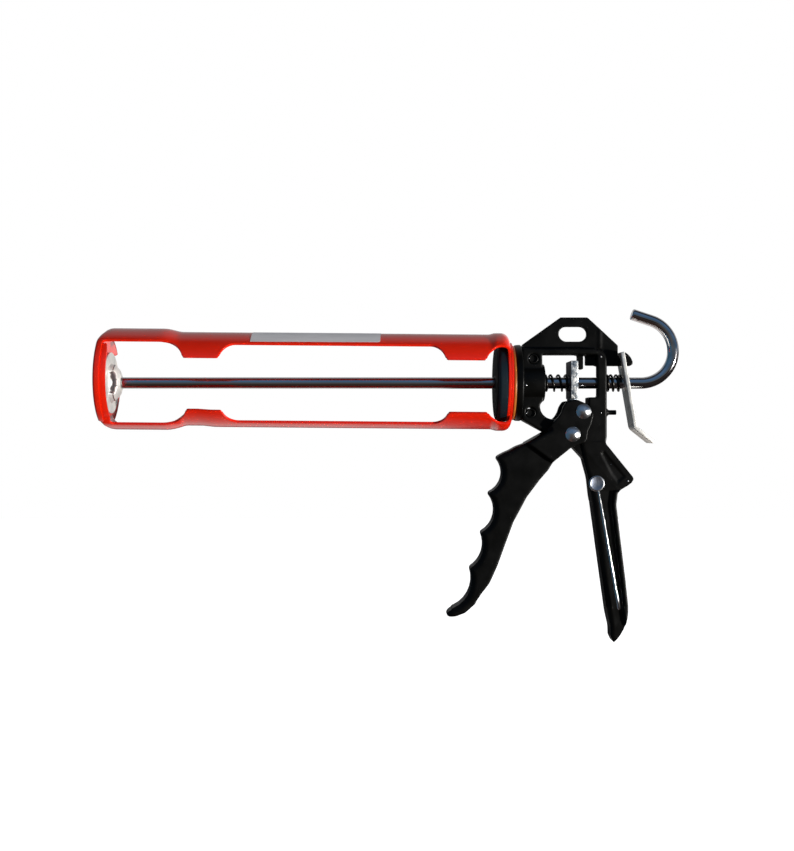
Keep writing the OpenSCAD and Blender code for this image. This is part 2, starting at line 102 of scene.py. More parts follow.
front = room_math("MULTIPLY", axes.outputs["Y"], -1)
turn = room_math("DIVIDE", room_math("ARCTAN2", axes.outputs["Z"], front), 2 * pi)
place = room_math("ADD", turn, 0.5)
strip = room.nodes.new("ShaderNodeValToRGB")
room.links.new(place, strip.inputs["Fac"])
stops = (
    (-180, (0.02, 0.02, 0.02)), (-163, (0.03, 0.03, 0.03)), (-154, (1.0, 0.97, 0.95)),
    (-135, (1.1, 1.02, 0.98)), (-114, (0.75, 0.62, 0.56)), (-92, (0.1, 0.06, 0.05)),
    (-45, (0.035, 0.018, 0.014)), (-14, (0.07, 0.06, 0.055)), (-3, (0.11, 0.11, 0.11)),
    (8, (0.07, 0.11, 0.15)), (25, (0.07, 0.14, 0.25)), (50, (0.09, 0.17, 0.3)),
    (75, (0.03, 0.03, 0.035)), (102, (0.03, 0.03, 0.03)), (117, (0.5, 0.5, 0.5)),
    (150, (0.5, 0.5, 0.51)), (168, (0.65, 0.65, 0.65)), (175, (0.02, 0.02, 0.02)),
    (180, (0.02, 0.02, 0.02)),
)
ramp = strip.color_ramp
spots = [(angle + 180) / 360 for angle, _ in stops]
for spot in spots[1:-1]:
    ramp.elements.new(spot)
for element, spot, (_, colour) in zip(ramp.elements, spots, stops):
    element.position = spot
    element.color = (*colour, 1)


def room_between(value, low, high):
    made = room.nodes.new("ShaderNodeMapRange")
    made.interpolation_type = "SMOOTHSTEP"
    made.inputs["From Min"].default_value = low
    made.inputs["From Max"].default_value = high
    room.links.new(value, made.inputs["Value"])
    return made.outputs["Result"]


def room_mix(factor, first, second):
    made = room.nodes.new("ShaderNodeMix")
    made.data_type = "RGBA"
    room.links.new(factor, made.inputs[0])
    for socket, colour in ((made.inputs[6], first), (made.inputs[7], second)):
        if isinstance(colour, tuple):
            socket.default_value = (*colour, 1)
        else:
            room.links.new(colour, socket)
    return made.outputs[2]


behind = room_between(axes.outputs["Y"], 0.75, 0.9)
right = room_between(axes.outputs["X"], 0.1, 0.19)
above = room_between(axes.outputs["Z"], 0.0, 0.05)
window = room_math("MULTIPLY", room_math("MULTIPLY", behind, right), above)
shade = room_math("MULTIPLY", room_between(axes.outputs["X"], 0.035, 0.05),
                  room_between(room_math("MULTIPLY", axes.outputs["Z"], -1), 0.05, 0.15))
gloss_room = room_mix(shade, strip.outputs["Color"], (0.02, 0.015, 0.015))
gloss_room = room_mix(window, gloss_room, (1, 1, 1))
left = room_between(room_math("MULTIPLY", axes.outputs["X"], -1), 0.45, 0.85)
gloss_room = room_mix(left, gloss_room, (0.05, 0.12, 0.19))


def room_light(colour, strength):
    light = room.nodes.new("ShaderNodeBackground")
    light.inputs["Strength"].default_value = strength
    if isinstance(colour, tuple):
        light.inputs["Color"].default_value = (*colour, 1)
    else:
        room.links.new(colour, light.inputs["Color"])
    return light.outputs[0]


def room_choice(factor, first, second):
    choice = room.nodes.new("ShaderNodeMixShader")
    room.links.new(factor, choice.inputs["Fac"])
    room.links.new(first, choice.inputs[1])
    room.links.new(second, choice.inputs[2])
    return choice.outputs[0]


ray = room.nodes.new("ShaderNodeLightPath")
plain_light = room_light((0.95, 0.98, 1), 0.28)
lit = room_choice(ray.outputs["Is Glossy Ray"], plain_light, room_light(gloss_room, 1))
shown = room_choice(ray.outputs["Is Camera Ray"], lit, room_light((1, 1, 1), 1))
room_end = room.nodes.new("ShaderNodeOutputWorld")
room.links.new(shown, room_end.inputs["Surface"])


# Floor. A plain white sheet lies well below the gun and takes its shadow.
bpy.ops.mesh.primitive_plane_add(size=8, location=(0.17, 0, -0.395))
floor = bpy.context.object
floor.name = "floor"
floor_paint = bpy.data.materials.new("floor_white")
floor_paint.use_nodes = True
floor_tree = floor_paint.node_tree
floor_shader = floor_tree.nodes["Principled BSDF"]
floor_shader.inputs["Base Color"].default_value = (0.82, 0.82, 0.82, 1)
floor_shader.inputs["Roughness"].default_value = 0.9
floor_shader.inputs["Emission Color"].default_value = (1, 1, 1, 1)
floor_ray = floor_tree.nodes.new("ShaderNodeLightPath")
floor_tree.links.new(floor_ray.outputs["Is Camera Ray"], floor_shader.inputs["Emission Strength"])
floor_clear = floor_tree.nodes.new("ShaderNodeBsdfTransparent")
floor_mix = floor_tree.nodes.new("ShaderNodeMixShader")
floor_tree.links.new(floor_ray.outputs["Is Glossy Ray"], floor_mix.inputs["Fac"])
floor_tree.links.new(floor_shader.outputs["BSDF"], floor_mix.inputs[1])
floor_tree.links.new(floor_clear.outputs["BSDF"], floor_mix.inputs[2])
floor_end = floor_tree.nodes["Material Output"]
floor_tree.links.new(floor_mix.outputs["Shader"], floor_end.inputs["Surface"])
floor.data.materials.append(floor_paint)


# Cradle pressings. Each is a strip of 1.4 mm steel pressed to a half-round
# strap with a plate at both ends, and enamelled red. The lower one nests
# inside the upper one, and both plates are seamed together at each end. Sizes
# are in millimetres along the rod, angles in degrees from the crown.
SHEET = 1.4
LENGTH = 225.9
STRAP_R, FRONT_R, REAR_R = 26.5, 28.3, 27.3
DRAWN_DOWN = (34, 45)
STEPPED_OUT = (LENGTH - 11.4, LENGTH - 7.6)
WRAP, OPEN = 34.4, 14.0
WIDENED = (205, 216)
TABS = ((47.6, 67.0), (190.5, 211.9))
TAB_CORNER, TAB_WRAP, TAB_EDGE = 8.6, 56.0, 1
TAB_SINK = 0.7
CROWN_BEND, SIDE_BEND, REAR_BEND = 6, 1.6, 4.4
LIP_FILLET, LIP_END_DEPTH = 2.2, 2.7
SLOT_HALF = 11.5
NEAR_FIELD_R, NEAR_FIELD_END, FAR_FIELD_END = 26.4, 62.5, 240
REAR_RINGS = (22, 16, 9.6)
SPINDLE_X, LEAN, TURNED = 0.226, 0.48, 8.7
cradle_slack = (
    Matrix.Translation((SPINDLE_X, 0, 0.00048)) @ Matrix.Rotation(radians(LEAN), 4, "Y")
    @ Matrix.Translation((-SPINDLE_X, 0, 0)) @ Matrix.Rotation(radians(TURNED), 4, "X")
)


def ease(value, low, high):
    t = min(max((value - low) / (high - low), 0), 1)
    return t * t * (3 - 2 * t)


def strap_radius(x, flip):
    drop = (FRONT_R - STRAP_R) * ease(x, *DRAWN_DOWN)
    sink = TAB_SINK * ease(x, 40, 46) * (1 - ease(x, 54, 62)) if flip else 0
    return FRONT_R - drop + (REAR_R - STRAP_R) * ease(x, *STEPPED_OUT) - sink


def strap_edge(x, rear_wrap):
    radius = strap_radius(x, False)
    wrap = WRAP + (rear_wrap - WRAP) * ease(x, *WIDENED)
    top = radius * cos(radians(wrap))
    low = STRAP_R * cos(radians(TAB_WRAP)) + TAB_EDGE
    for start, end in TABS:
        away = max(start - x, x - end)
        if away > TAB_CORNER:
            continue
        if away > 0:
            side = top - TAB_CORNER + sqrt(TAB_CORNER ** 2 - (TAB_CORNER - away) ** 2)
            return degrees(acos(max(side, low) / radius))
        inside = min(-away, TAB_EDGE)
        side = low - sqrt(TAB_EDGE ** 2 - (TAB_EDGE - inside) ** 2)
        return degrees(acos(side / radius))
    return wrap


def strap_stations():
    stations = [7, 8.5, 11, 15, 20, 26, 31, 34, 36, 38, 46, 80, 110, 140, 170, 181]
    for start, end in TABS:
        for k in range(9):
            reach = TAB_CORNER * (1 - sin(radians(k * 10)))
            stations += [start - reach, end + reach]
        for inset in (0, 0.2, 0.5, 1, 3, 6.5):
            stations += [start + inset, end - inset]
    stations = sorted(s for s in stations if s < LENGTH - REAR_BEND - 0.2)
    return [s for k, s in enumerate(stations) if k == 0 or s - stations[k - 1] > 0.04]


def hold(piece):
    bpy.ops.object.select_all(action="DESELECT")
    piece.select_set(True)
    bpy.context.view_layer.objects.active = piece


def place(name, mesh):
    data = bpy.data.meshes.new(name)
    mesh.to_mesh(data)
    mesh.free()
    piece = bpy.data.objects.new(name, data)
    bpy.context.scene.collection.objects.link(piece)
    hold(piece)
    return piece


def modify(piece, kind, **values):
    made = piece.modifiers.new(kind, kind)
    for key, value in values.items():
        setattr(made, key, value)
    bpy.ops.object.modifier_apply(modifier=made.name)


def pressing(name, node, lip_r, lip_depth, lip_low, lip_end, nest, flip, rear_wrap):
    mesh = bmesh.new()
    quarter = [radians(15 * k) for k in range(7)]
    up = -1 if flip else 1

    def at(x, r, angle):
        a = radians(angle)
        return mesh.verts.new((0.001 * (x + nest), -0.001 * r * sin(a), 0.001 * up * r * cos(a)))

    def patch(rows):
        grid = [[at(*spot) for spot in row] for row in rows]
        for a, b in zip(grid, grid[1:]):
            for k in range(len(a) - 1):
                mesh.faces.new((a[k], a[k + 1], b[k + 1], b[k]))

    def fan(start, end, steps):
        return [start + (end - start) * j / steps for j in range(steps + 1)]

    def bend(angle):
        return CROWN_BEND - (CROWN_BEND - SIDE_BEND) * ease(angle, 6, 40)

    def rim(angle):
        return FRONT_R + (lip_r - FRONT_R) * ease(angle, WRAP, lip_low)

    def slot_edge(angle):
        straight = 0 <= angle < 180
        return SLOT_HALF if straight else SLOT_HALF / abs(cos(radians(angle)))

    def front(angle):
        r, b, hole = rim(angle), bend(angle), slot_edge(angle)
        flat = [(0, hole + (r - b - hole) * k / 4, angle) for k in range(4)]
        return flat + [(b * (1 - cos(a)), r - b + b * sin(a), angle) for a in quarter]

    def field(reach, angles):
        return [[(0, slot_edge(a) + (reach - slot_edge(a)) * k / 4, a) for k in range(5)]
                for a in angles]

    def across(t, edge):
        return -OPEN + t * (edge + OPEN)

    # The strap runs from the front plate over its bend, along, and down the
    # rear bend.
    strap = []
    for t in [j / 18 for j in range(19)]:
        row = front(across(t, WRAP))
        row += [(x, strap_radius(x, flip), across(t, strap_edge(x, rear_wrap)))
                for x in strap_stations()]
        angle = across(t, rear_wrap)
        row += [(LENGTH - REAR_BEND + REAR_BEND * sin(a), REAR_R - REAR_BEND + REAR_BEND * cos(a),
                 angle) for a in quarter]
        strap.append(row + [(LENGTH, r, angle) for r in REAR_RINGS])
    patch(strap)

    # The lip leaves the strap in a fillet and gets shallower towards its end.
    lip = []
    for j in range(41):
        angle = WRAP + (lip_end - WRAP) * (j / 40) ** 1.3
        flank = 1 - min((angle - WRAP) / 4, 1)
        depth = lip_depth + LIP_FILLET * (1 - sqrt(1 - flank ** 2))
        depth -= (lip_depth - LIP_END_DEPTH) * 0.35 * ease(angle, lip_end - 12, lip_end)
        b = bend(angle)
        lip.append(front(angle) + [(b + (depth - b) * k / 2, rim(angle), angle) for k in (1, 2)])
    patch(lip)
    patch(field(NEAR_FIELD_R, fan(-OPEN, -NEAR_FIELD_END, 14))[::-1])
    patch(field(lip_r - 2.6, fan(lip_end, FAR_FIELD_END, 30)))
    patch([[(LENGTH, r, a) for r in REAR_RINGS] for a in fan(rear_wrap, 360 - OPEN, 60)])
    bmesh.ops.remove_doubles(mesh, verts=mesh.verts, dist=0.00002)

    # Every face looks away from the stretch of the axis between the plates.
    for face in mesh.faces:
        face.normal_update()
        spot = face.calc_center_median()
        core = Vector((min(max(spot.x, 0.01), 0.215), 0, 0))
        if face.normal.dot(spot - core) < 0:
            face.normal_flip()
    piece = place(name, mesh)
    modify(piece, "SOLIDIFY", thickness=SHEET * 0.001, offset=-1, use_even_offset=True)
    modify(piece, "BEVEL", width=0.00025, segments=2, limit_method="ANGLE",
           angle_limit=radians(50))
    bpy.ops.object.shade_smooth_by_angle(angle=radians(35))
    piece.data.transform(cradle_slack)
    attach(piece, "cradle")
    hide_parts(node)
    return piece


upper = pressing("cradle_upper_pressing", "cradle_upper", 28.0, 3.6, 44, 140, 0, False, 36.4)
lower = pressing("cradle_lower_pressing", "cradle_lower", 26.6, 5.3, 46, 143.5, SHEET, True, 39.1)


def material(name, colour, rough, metal=0.0, gloss=0.5):
    made = bpy.data.materials.new(name)
    made.use_nodes = True
    shader = made.node_tree.nodes["Principled BSDF"]
    shader.inputs["Base Color"].default_value = (*colour, 1)
    shader.inputs["Roughness"].default_value = rough
    shader.inputs["Metallic"].default_value = metal
    shader.inputs["Specular IOR Level"].default_value = gloss
    return made


def grain(made, scale, stretch=(1, 1, 1), detail=3.0):
    tree = made.node_tree
    where = tree.nodes.new("ShaderNodeTexCoord")
    spread = tree.nodes.new("ShaderNodeMapping")
    spread.inputs["Scale"].default_value = stretch
    tree.links.new(where.outputs["Object"], spread.inputs["Vector"])
    noise = tree.nodes.new("ShaderNodeTexNoise")
    noise.inputs["Scale"].default_value = scale
    noise.inputs["Detail"].default_value = detail
    tree.links.new(spread.outputs["Vector"], noise.inputs["Vector"])
    return noise.outputs["Fac"]


def widen(made, source, start, end, low=0.0, high=1.0):
    wider = made.node_tree.nodes.new("ShaderNodeMapRange")
    wider.inputs["From Min"].default_value = start
    wider.inputs["From Max"].default_value = end
    wider.inputs["To Min"].default_value = low
    wider.inputs["To Max"].default_value = high
    made.node_tree.links.new(source, wider.inputs["Value"])
    return wider.outputs["Result"]


def vary(made, socket, source, low, high):
    shader = made.node_tree.nodes["Principled BSDF"]
    made.node_tree.links.new(widen(made, source, 0.3, 0.7, low, high), shader.inputs[socket])


def tint(made, source, first, second, start=0.3, end=0.7):
    tree = made.node_tree
    factor = widen(made, source, start, end)
    mix = tree.nodes.new("ShaderNodeMix")
    mix.data_type = "RGBA"
    tree.links.new(factor, mix.inputs[0])
    mix.inputs[6].default_value = (*first, 1)
    mix.inputs[7].default_value = (*second, 1)
    tree.links.new(mix.outputs[2], tree.nodes["Principled BSDF"].inputs["Base Color"])


def rough_skin(made, source, strength, depth):
    tree = made.node_tree
    bump = tree.nodes.new("ShaderNodeBump")
    bump.inputs["Strength"].default_value = strength
    bump.inputs["Distance"].default_value = depth
    tree.links.new(source, bump.inputs["Height"])
    tree.links.new(bump.outputs["Normal"], tree.nodes["Principled BSDF"].inputs["Normal"])


red = material("red_enamel", (0.6, 0.007, 0.0025), 0.2)
vary(red, "Roughness", grain(red, 60), 0.16, 0.26)
tint(red, grain(red, 25, (0.4, 1, 1)), (0.54, 0.009, 0.001), (0.62, 0.013, 0.0015))
rough_skin(red, grain(red, 420), 0.06, 0.0001)
upper.data.materials.append(red)
lower.data.materials.append(red)


# Label. A blank strip of brushed foil is stuck over the upper pressing's crown
# and down to its near edge, which it follows a little askew.
LABEL_R, LABEL_START, LABEL_LONG, LABEL_CORNER = 0.02662, 0.0835, 0.071, 0.0012
LABEL_FAR, LABEL_NEAR, LABEL_SKEW = 10, 31.4, 1.0
bpy.ops.mesh.primitive_grid_add(x_subdivisions=30, y_subdivisions=24, size=1)
label = bpy.context.object
label.name = "label_foil"
for vert in label.data.vertices:
    along, across = vert.co.x + 0.5, vert.co.y + 0.5
    wrap = LABEL_NEAR - LABEL_SKEW * along
    a = radians(-LABEL_FAR + (LABEL_FAR + wrap) * across)
    corner = LABEL_CORNER * (1 - sqrt(1 - min(abs(2 * vert.co.y) ** 24, 1)))
    x = LABEL_START + (LABEL_LONG - corner) * along
    vert.co = (x, -LABEL_R * sin(a), LABEL_R * cos(a))
label.data.flip_normals()
modify(label, "SOLIDIFY", thickness=0.00008, offset=-1)
label.data.transform(cradle_slack)
foil = material("label_foil", (0.42, 0.42, 0.44), 0.4, 0.35)
vary(foil, "Roughness", grain(foil, 90), 0.34, 0.5)
tint(foil, grain(foil, 30, (0.3, 4, 4)), (0.62, 0.62, 0.66), (0.8, 0.8, 0.84))
rough_skin(foil, grain(foil, 160, (0.4, 1, 1)), 0.35, 0.0004)
label.data.materials.append(foil)
bpy.ops.object.shade_smooth_by_angle(angle=radians(35))
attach(label, "cradle")
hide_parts("cradle_label")


# Swivel washer. A soft amber plastic ring lies between the cradle and the
# nose flange, so that the cradle turns easily.
def turned(name, profile, steps=96):
    mesh = bmesh.new()
    verts = [mesh.verts.new((0.001 * x, 0, 0.001 * r)) for x, r in profile]
    edges = [mesh.edges.new((a, b)) for a, b in zip(verts, verts[1:] + verts[:1])]
    bmesh.ops.spin(mesh, geom=verts + edges, axis=(1, 0, 0), cent=(0, 0, 0), angle=2 * pi,
                   steps=steps, use_merge=True)
    bmesh.ops.remove_doubles(mesh, verts=mesh.verts, dist=0.000001)
    bmesh.ops.delete(mesh, geom=[e for e in mesh.edges if not e.link_faces], context="EDGES")
    bmesh.ops.delete(mesh, geom=[v for v in mesh.verts if not v.link_faces], context="VERTS")
    bmesh.ops.recalc_face_normals(mesh, faces=mesh.faces)
    piece = place(name, mesh)
    bpy.ops.object.shade_smooth_by_angle(angle=radians(32))
    return piece


def arc(x, r, wide, high, start, end, count=8):
    turns = [radians(start + (end - start) * k / count) for k in range(count + 1)]
    return [(x + wide * cos(a), r + high * sin(a)) for a in turns]


washer = turned("swivel_washer_ring", [(227.6, 9.1)] + arc(228.1, 20.3, 0.5, 0.5, 180, 90, 4)
                + arc(228.6, 20.3, 0.5, 0.5, 90, 0, 4) + [(229.1, 9.1)])
amber = material("amber_plastic", (0.5, 0.17, 0.02), 0.38)
tint(amber, grain(amber, 70), (0.28, 0.085, 0.009), (0.42, 0.15, 0.02))
washer.data.materials.append(amber)
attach(washer, "body")
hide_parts("swivel_washer")


# Nose spindle. It is a black painted casting: a flange behind the washer, and
# a spigot that the cradle turns on.
spindle = turned("nose_spindle_turned",
                 [(219.6, 3.3), (219.6, 8.7), (219.8, 8.9), (229.1, 8.9)]
                 + arc(230.1, 20.3, 1.0, 0.9, 180, 90, 5)
                 + [(231.6, 21.3)] + arc(232.1, 20.3, 0.8, 1.0, 90, 20, 5)
                 + [(232.8, 18.2)] + arc(233.0, 17.7, 0.3, 0.4, 90, 0, 4)
                 + [(233.3, 6.9), (246.0, 6.7), (246.0, 3.3)])
black = material("black_enamel", (0.0008, 0.0008, 0.0006), 0.42, gloss=0.14)
vary(black, "Roughness", grain(black, 130), 0.36, 0.5)
rough_skin(black, grain(black, 700), 0.1, 0.0002)
spindle.data.materials.append(black)
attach(spindle, "body")
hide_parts("nose_spindle")


# Retainer. A black disc is pressed on the spigot's end inside the cradle, and a spring clip in
# its recess holds it. Its face is flat, dull and darker than the rim: painted shade. Its rim is
# rounded and glossier, tinted blue: painted reflection.
def coat(node, made):
    cad[node].data.materials.clear()
    cad[node].data.materials.append(made)


retainer = turned("nose_retainer_disc",
                  [(224.2, 3.6), (219.1, 3.6)] + arc(219.0, 4.3, 0.5, 0.5, 235, 180, 3)
                  + [(218.4, 9), (218.45, 14)] + arc(221.1, 18.8, 2.6, 3.0, 178, 90, 14)
                  + [(224.2, 21.75)])
rim_painted_reflection = material("retainer_rim_painted_reflection", (0.0025, 0.009, 0.014), 0.45, gloss=0.35)
vary(rim_painted_reflection, "Roughness", grain(rim_painted_reflection, 90), 0.4, 0.5)
face_painted_shade = material("retainer_face_painted_shade", (0.001, 0.0015, 0.002), 0.7, gloss=0.1)
vary(face_painted_shade, "Roughness", grain(face_painted_shade, 90), 0.6, 0.8)
for made in (rim_painted_reflection, face_painted_shade):
    rough_skin(made, grain(made, 500), 0.05, 0.0001)
    retainer.data.materials.append(made)
# Faces looking forward take the darker painted-shade copy; the rest take the blue-tinted
# painted-reflection copy.
for face in retainer.data.polygons:
    face.material_index = 1 if face.normal.x < -0.8 else 0
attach(retainer, "body")
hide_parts("nose_retainer")
coat("retainer_clip", black)


# Cross pins. Two black pins hold the spindle in the body. Their rounded ends
# stand out a little on both sides.
for name, x, z in (("pin_upper", 239.5, 13.2), ("pin_lower", 238.1, -16.9)):
    for side in (-1, 1):
        pin = turned(f"nose_{name}_{'near' if side < 0 else 'far'}",
                     [(0, 0), (0, 2.65), (6.6, 2.65)] + arc(6.6, 2.2, 0.45, 0.45, 90, -60, 8)
                     + [(6.1, 1.5), (6.0, 0)])
        pin.data.transform(Matrix.Translation((0.001 * x, 0, 0.001 * z))
                           @ Matrix.Rotation(radians(90 * side), 4, "Z"))
        pin.data.materials.append(black)
        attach(pin, "body")
        if side < 0 and z > 0:
            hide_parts("nose_pins")


# Stop peg. A short black pin with a collar stands on the rear post and stops
# the release lever.
PEG_Z = -0.0165
peg = turned("stop_peg_turned",
             [(276.0, 0), (276.0, 1.2), (280.2, 1.2), (280.2, 2.3)]
             + arc(281.0, 1.9, 0.6, 0.5, 90, 0, 4) + [(282.4, 1.35)]
             + arc(286.1, 0.95, 0.4, 0.4, 90, 0, 4) + [(286.5, 0)], 48)
peg.data.transform(Matrix.Translation((0, 0, PEG_Z)))
peg.data.materials.append(black)
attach(peg, "body")
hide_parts("stop_peg")


# Body casting. Hanger, window frame, hub and handle are one black enamelled
# die casting. Every edge of it is rounded, the handle's front edges most.
def cad_piece(node, name, flatten=False):
    piece = cad[node].copy()
    piece.data = cad[node].data.copy()
    piece.name = name
    piece.parent = None
    for key in list(piece.keys()):
        del piece[key]
    bpy.context.scene.collection.objects.link(piece)
    hold(piece)
    bpy.ops.object.mode_set(mode="EDIT")
    bpy.ops.mesh.select_all(action="SELECT")
    bpy.ops.mesh.remove_doubles(threshold=0.000002)
    if flatten:
        bpy.ops.mesh.dissolve_limited(angle_limit=radians(3))
    bpy.ops.object.mode_set(mode="OBJECT")
    piece.data.materials.clear()
    return piece


def soften(piece, rounds):
    modify(piece, "SMOOTH", factor=0.5, iterations=rounds)


def cast_copy(node, name, voxel, rounds):
    piece = cad_piece(node, name)
    modify(piece, "REMESH", mode="VOXEL", voxel_size=voxel)
    soften(piece, rounds)
    bpy.ops.object.shade_smooth()
    return piece


def round_rim(piece, line, half, radius):
    spots = []
    for a, b in zip(line, line[1:]):
        a, b = Vector(a), Vector(b)
        count = max(int((b - a).length / 0.25), 1)
        inward = Vector((a.y - b.y, b.x - a.x)).normalized()
        spots += [(a + (b - a) * (k + 0.5) / count, inward) for k in range(count)]
    tree = KDTree(len(spots))
    for k, (spot, inward) in enumerate(spots):
        tree.insert((spot.x, spot.y, 0), k)
    tree.balance()
    base = half - radius
    flat = radius * sin(radians(42))
    for vert in piece.data.vertices:
        x, y, z = 1000 * vert.co
        if abs(y) <= base:
            continue
        _, index, away = tree.find((x, z, 0))
        if away > radius + 1:
            continue
        spot, inward = spots[index]
        deep = max((Vector((x, z)) - spot).dot(inward), 0)
        if deep < flat:
            crest = base + sqrt(radius ** 2 - (flat - deep) ** 2)
            vert.co.y *= (base + (abs(y) - base) * (crest - base) / radius) / abs(y)


HANDLE_FRONT = [(265.0, -30), (265.9, -36.2), (268.0, -45), (270.3, -53.3), (272.8, -66.2),
                (282.5, -135.6), (282.5, -141), (284.1, -144.4)]
POCKET = [(275.3, -40.7), (278.6, -37.6), (290.6, -52.2), (285.5, -56.5), (282.5, -50.7)]
POCKET_DEPTH = 0.5
WEB_HALF, HANGER_HALF, RIDGE_RISE = 2.3, 2, 0.35
SHOULDER_HALF, HANDLE_HALF = 6.7, 6.05
HANGER_X, HANGER_Z, HANGER_R = 274.3, 12.8, 6
SLOT_X, SLOT_Z, SLOT_STRAIGHT, SLOT_R = 260.7, 26.7, 3.6, 4.5
HORN_X, HORN_Z, HORN_R = 293.3, -53.4, 1.6


def pocket_depth(x, z):
    inside = 10.0
    for (ax, az), (bx, bz) in zip(POCKET, POCKET[1:] + POCKET[:1]):
        length = sqrt((bx - ax) ** 2 + (bz - az) ** 2)
        inside = min(inside, ((bz - az) * (x - ax) - (bx - ax) * (z - az)) / length)
    return POCKET_DEPTH * ease(inside, -0.3, 1.2)


# Half the casting's width at a spot: thin in the web over the window and in
# the rear of the hanger, a low ridge up the hanger, and a step down from the
# handle's shoulder to its grip.
def casting_half(x, z, half):
    if 264 < x < 274.7 and 6.5 < z < 15.4:
        half = min(half, WEB_HALF)
    corner = (x - HANGER_X) ** 2 + (z - HANGER_Z) ** 2
    if x > HANGER_X and z > HANGER_Z and corner > HANGER_R ** 2:
        half = min(half, HANGER_HALF)
    if 275.4 < x < 278.6 and 19.5 < z < 33 and half < 2.4:
        half += RIDGE_RISE * (1 - abs(x - 277) / 1.6)
    if z >= -33:
        return half
    front = 266 + (-36.2 - z) * 0.235 if z > -66.2 else 272.8 + (-66.2 - z) * 0.14
    over_line = (x - 266.5) * 0.78 + (z + 35) * 0.63 if z > -66 else 0
    face = SHOULDER_HALF - 0.1 * min(max(-over_line, 0), 7)
    face += (HANDLE_HALF - face) * ease(-z, 58, 64)
    if z > -60:
        half = face if half > 5.5 else min(half, face)
        half -= pocket_depth(x, z)
    elif x - front < 8:
        half = min(half, face)
    return half


# The outline is dressed first: the hanger's slot, its top with the arm over the
# lever, and the handle's swelling front. Then come the widths, the far side of
# the window's rear edge, and the rounded tip of the horn.
casting = cast_copy("body_casting", "body_casting_skin", 0.00048, 3)
for vert in casting.data.vertices:
    x, y, z = 1000 * vert.co
    across, up = x - SLOT_X, z - SLOT_Z
    away = sqrt(max(abs(across) - SLOT_STRAIGHT, 0) ** 2 + up ** 2) - SLOT_R
    if abs(away) < 3 and abs(across) < 12:
        near = 1 - ease(abs(away), 0.4, 3)
        vert.co.x += 0.001 * near * (0.6 - 0.03 * across)
        vert.co.z -= 0.001 * near * 0.09 * up
    rear = ease(x, 283, 286)
    lift = max(ease(z, 17, 24), ease(x, 276, 282) * ease(z, 11, 16))
    vert.co.x += 0.001 * (0.7 * lift * (1 - rear) + 0.6 * ease(x, 291, 293) * ease(z, 4, 7))
    vert.co.z += 0.0006 * lift * (1 + rear)
    if z < -36 and x < 268 + (-45 - z) * 0.2 + 5:
        edge = 268 + (-45 - z) * (0.235 if z > -66 else 0.16)
        swell = ease(-z, 50, 66) * (1 - ease(-z, 126, 140))
        vert.co.x -= 0.0009 * swell * (1 - ease(x, edge + 0.5, edge + 4))
for vert in casting.data.vertices:
    x, y, z = 1000 * vert.co
    if abs(y) > 1.6:
        vert.co.y = 0.001 * casting_half(x, z, abs(y)) * (1 if y > 0 else -1)
    if y > -2 and 273.6 < x < 276.4 and -8.6 < z < 9.4:
        vert.co.x += 0.002 * ease(y, -2, 5)
    tip = Vector((x - HORN_X, z - HORN_Z))
    if tip.length > HORN_R and -53.7 < degrees(atan2(tip.y, tip.x)) < 39.5:
        tip = HORN_R * tip.normalized()
        vert.co.x, vert.co.z = 0.001 * (HORN_X + tip.x), 0.001 * (HORN_Z + tip.y)
soften(casting, 2)
round_rim(casting, HANDLE_FRONT, HANDLE_HALF, 3.5)
casting.data.materials.append(black)
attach(casting, "body")
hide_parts("body_casting")


# Painted glints. Small bright metal pips stand where glints of light sit on the casting: painted
# highlights.
PIPS = (("hub", 234.9, -10.2, -1.5, 0.65), ("pin_upper", 237.0, -6.6, 13.4, 0.5),
        ("pin_lower", 235.7, -6.6, -16.9, 0.5), ("post", 277.0, -6.6, 14.2, 0.6),
        ("peg", 277.0, -6.6, -16.9, 0.4), ("handle", 282.6, -6.0, -45.5, 0.25),
        ("horn", 291.8, -6.6, -54.6, 0.65))
# The pips' bright metal is painted highlight, not enamel worn through.
painted_glint_metal = material("painted_glint_spots", (0.6, 0.6, 0.6), 0.35, 1)
for name, x, y, z, size in PIPS:
    bpy.ops.mesh.primitive_uv_sphere_add(segments=16, ring_count=8, radius=0.001 * size,
                                         location=(0.001 * x, 0.001 * y, 0.001 * z))
    pip = bpy.context.object
    pip.name = f"casting_pip_{name}"
    bpy.ops.object.transform_apply(location=True, rotation=True, scale=True)
    bpy.ops.object.shade_smooth()
    pip.data.materials.append(painted_glint_metal)
    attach(pip, "body")


# Push rod. Bright chromed steel bar, bent to a hook at the rear by hand, with
# fine scratches along it.
chrome = material("rod_chrome", (0.62, 0.62, 0.64), 0.08, 1)
vary(chrome, "Roughness", grain(chrome, 220, (0.06, 1, 1)), 0.05, 0.16)
tint(chrome, grain(chrome, 300, (0.05, 1, 1)), (0.5, 0.5, 0.52), (0.68, 0.68, 0.7))
rough_skin(chrome, grain(chrome, 500, (0.08, 1, 1)), 0.12, 0.0002)


def bent_bar(name, points, radius, sides, closed=False, tip=0.0):
    curve = bpy.data.curves.new(name, "CURVE")
    curve.dimensions = "3D"
    curve.bevel_depth = 0.001 * radius
    curve.bevel_resolution = sides // 4
    curve.use_fill_caps = not closed
    line = curve.splines.new("POLY")
    line.use_cyclic_u = closed
    line.points.add(len(points) - 1)
    for spot, point in zip(line.points, points):
        spot.co = (*[0.001 * c for c in point], 1)
    if tip:
        for end in (0, -1):
            line.points[end].radius = 1 - tip / radius
    piece = bpy.data.objects.new(name, curve)
    bpy.context.scene.collection.objects.link(piece)
    hold(piece)
    bpy.ops.object.convert(target="MESH")
    piece = bpy.context.object
    mesh = bmesh.new()
    mesh.from_mesh(piece.data)
    bmesh.ops.remove_doubles(mesh, verts=mesh.verts, dist=0.000001)
    bmesh.ops.recalc_face_normals(mesh, faces=mesh.faces)
    mesh.to_mesh(piece.data)
    mesh.free()
    bpy.ops.object.shade_smooth_by_angle(angle=radians(40))
    return piece


